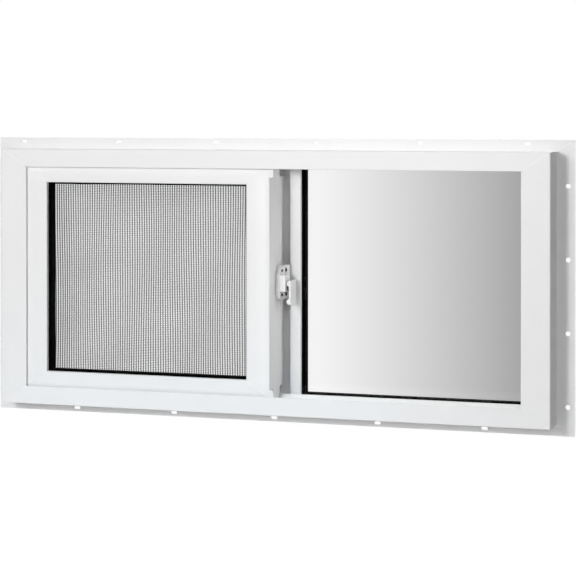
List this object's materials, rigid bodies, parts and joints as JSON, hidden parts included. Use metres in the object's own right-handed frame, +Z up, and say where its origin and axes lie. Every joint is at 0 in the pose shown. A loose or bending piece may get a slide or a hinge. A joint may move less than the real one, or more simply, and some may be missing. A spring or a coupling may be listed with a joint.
{
  "type": "horizontal sliding window",
  "caption": "White vinyl horizontal sliding window with a nailing fin, a sliding sash with insulated glass and a sweep latch, a fixed light and an insect screen.",
  "frame": {"origin": "on the wall face of the nailing fin, at the middle of the sill fin", "axes": "+X along the sill to the right as seen from the room, +Y from the room to the outdoors, +Z up"},
  "size_m": [0.8556, 0.094, 0.402],
  "materials": {
    "white_vinyl": "satin extruded vinyl",
    "clear_glass": "clear float glass",
    "black_spacer": "matte black edge seal",
    "screen_frame": "white baked enamel on aluminium",
    "screen_mesh": "woven coated glass fibre",
    "latch_white": "moulded white with a soft gloss",
    "nylon_glide": "moulded nylon",
    "screw_steel": "black oxide on screw steel"
  },
  "bodies": {
    "window": {"fixed_bead_bottom": "white_vinyl", "fixed_bead_right": "white_vinyl", "fixed_bead_top": "white_vinyl", "fixed_inner_pane": "clear_glass", "fixed_meeting_stile": "white_vinyl", "fixed_outer_pane": "clear_glass", "fixed_spacer": "black_spacer", "frame_head": "white_vinyl", "frame_left_jamb": "white_vinyl", "frame_right_jamb": "white_vinyl", "frame_sill": "white_vinyl", "latch_base": "latch_white", "sash_bead_bottom": "white_vinyl", "sash_bead_left": "white_vinyl", "sash_bead_right": "white_vinyl", "sash_bead_top": "white_vinyl", "sash_bottom_rail": "white_vinyl", "sash_glide_left": "nylon_glide", "sash_glide_right": "nylon_glide", "sash_inner_pane": "clear_glass", "sash_left_stile": "white_vinyl", "sash_meeting_stile": "white_vinyl", "sash_outer_pane": "clear_glass", "sash_spacer": "black_spacer", "sash_top_rail": "white_vinyl", "screen_bottom_bar": "screen_frame", "screen_left_bar": "screen_frame", "screen_mesh": "screen_mesh", "screen_right_bar": "screen_frame", "screen_top_bar": "screen_frame"},
    "lever": {"latch_lever": "latch_white"}
  },
  "joints": [
    {"name": "latch_turn", "type": "hinge", "parent": "window", "child": "lever", "pos_m": [0.0265, -0.01212, 0.1908], "axis": [-1, 0, 0], "range_deg": [0, 180]}
  ]
}
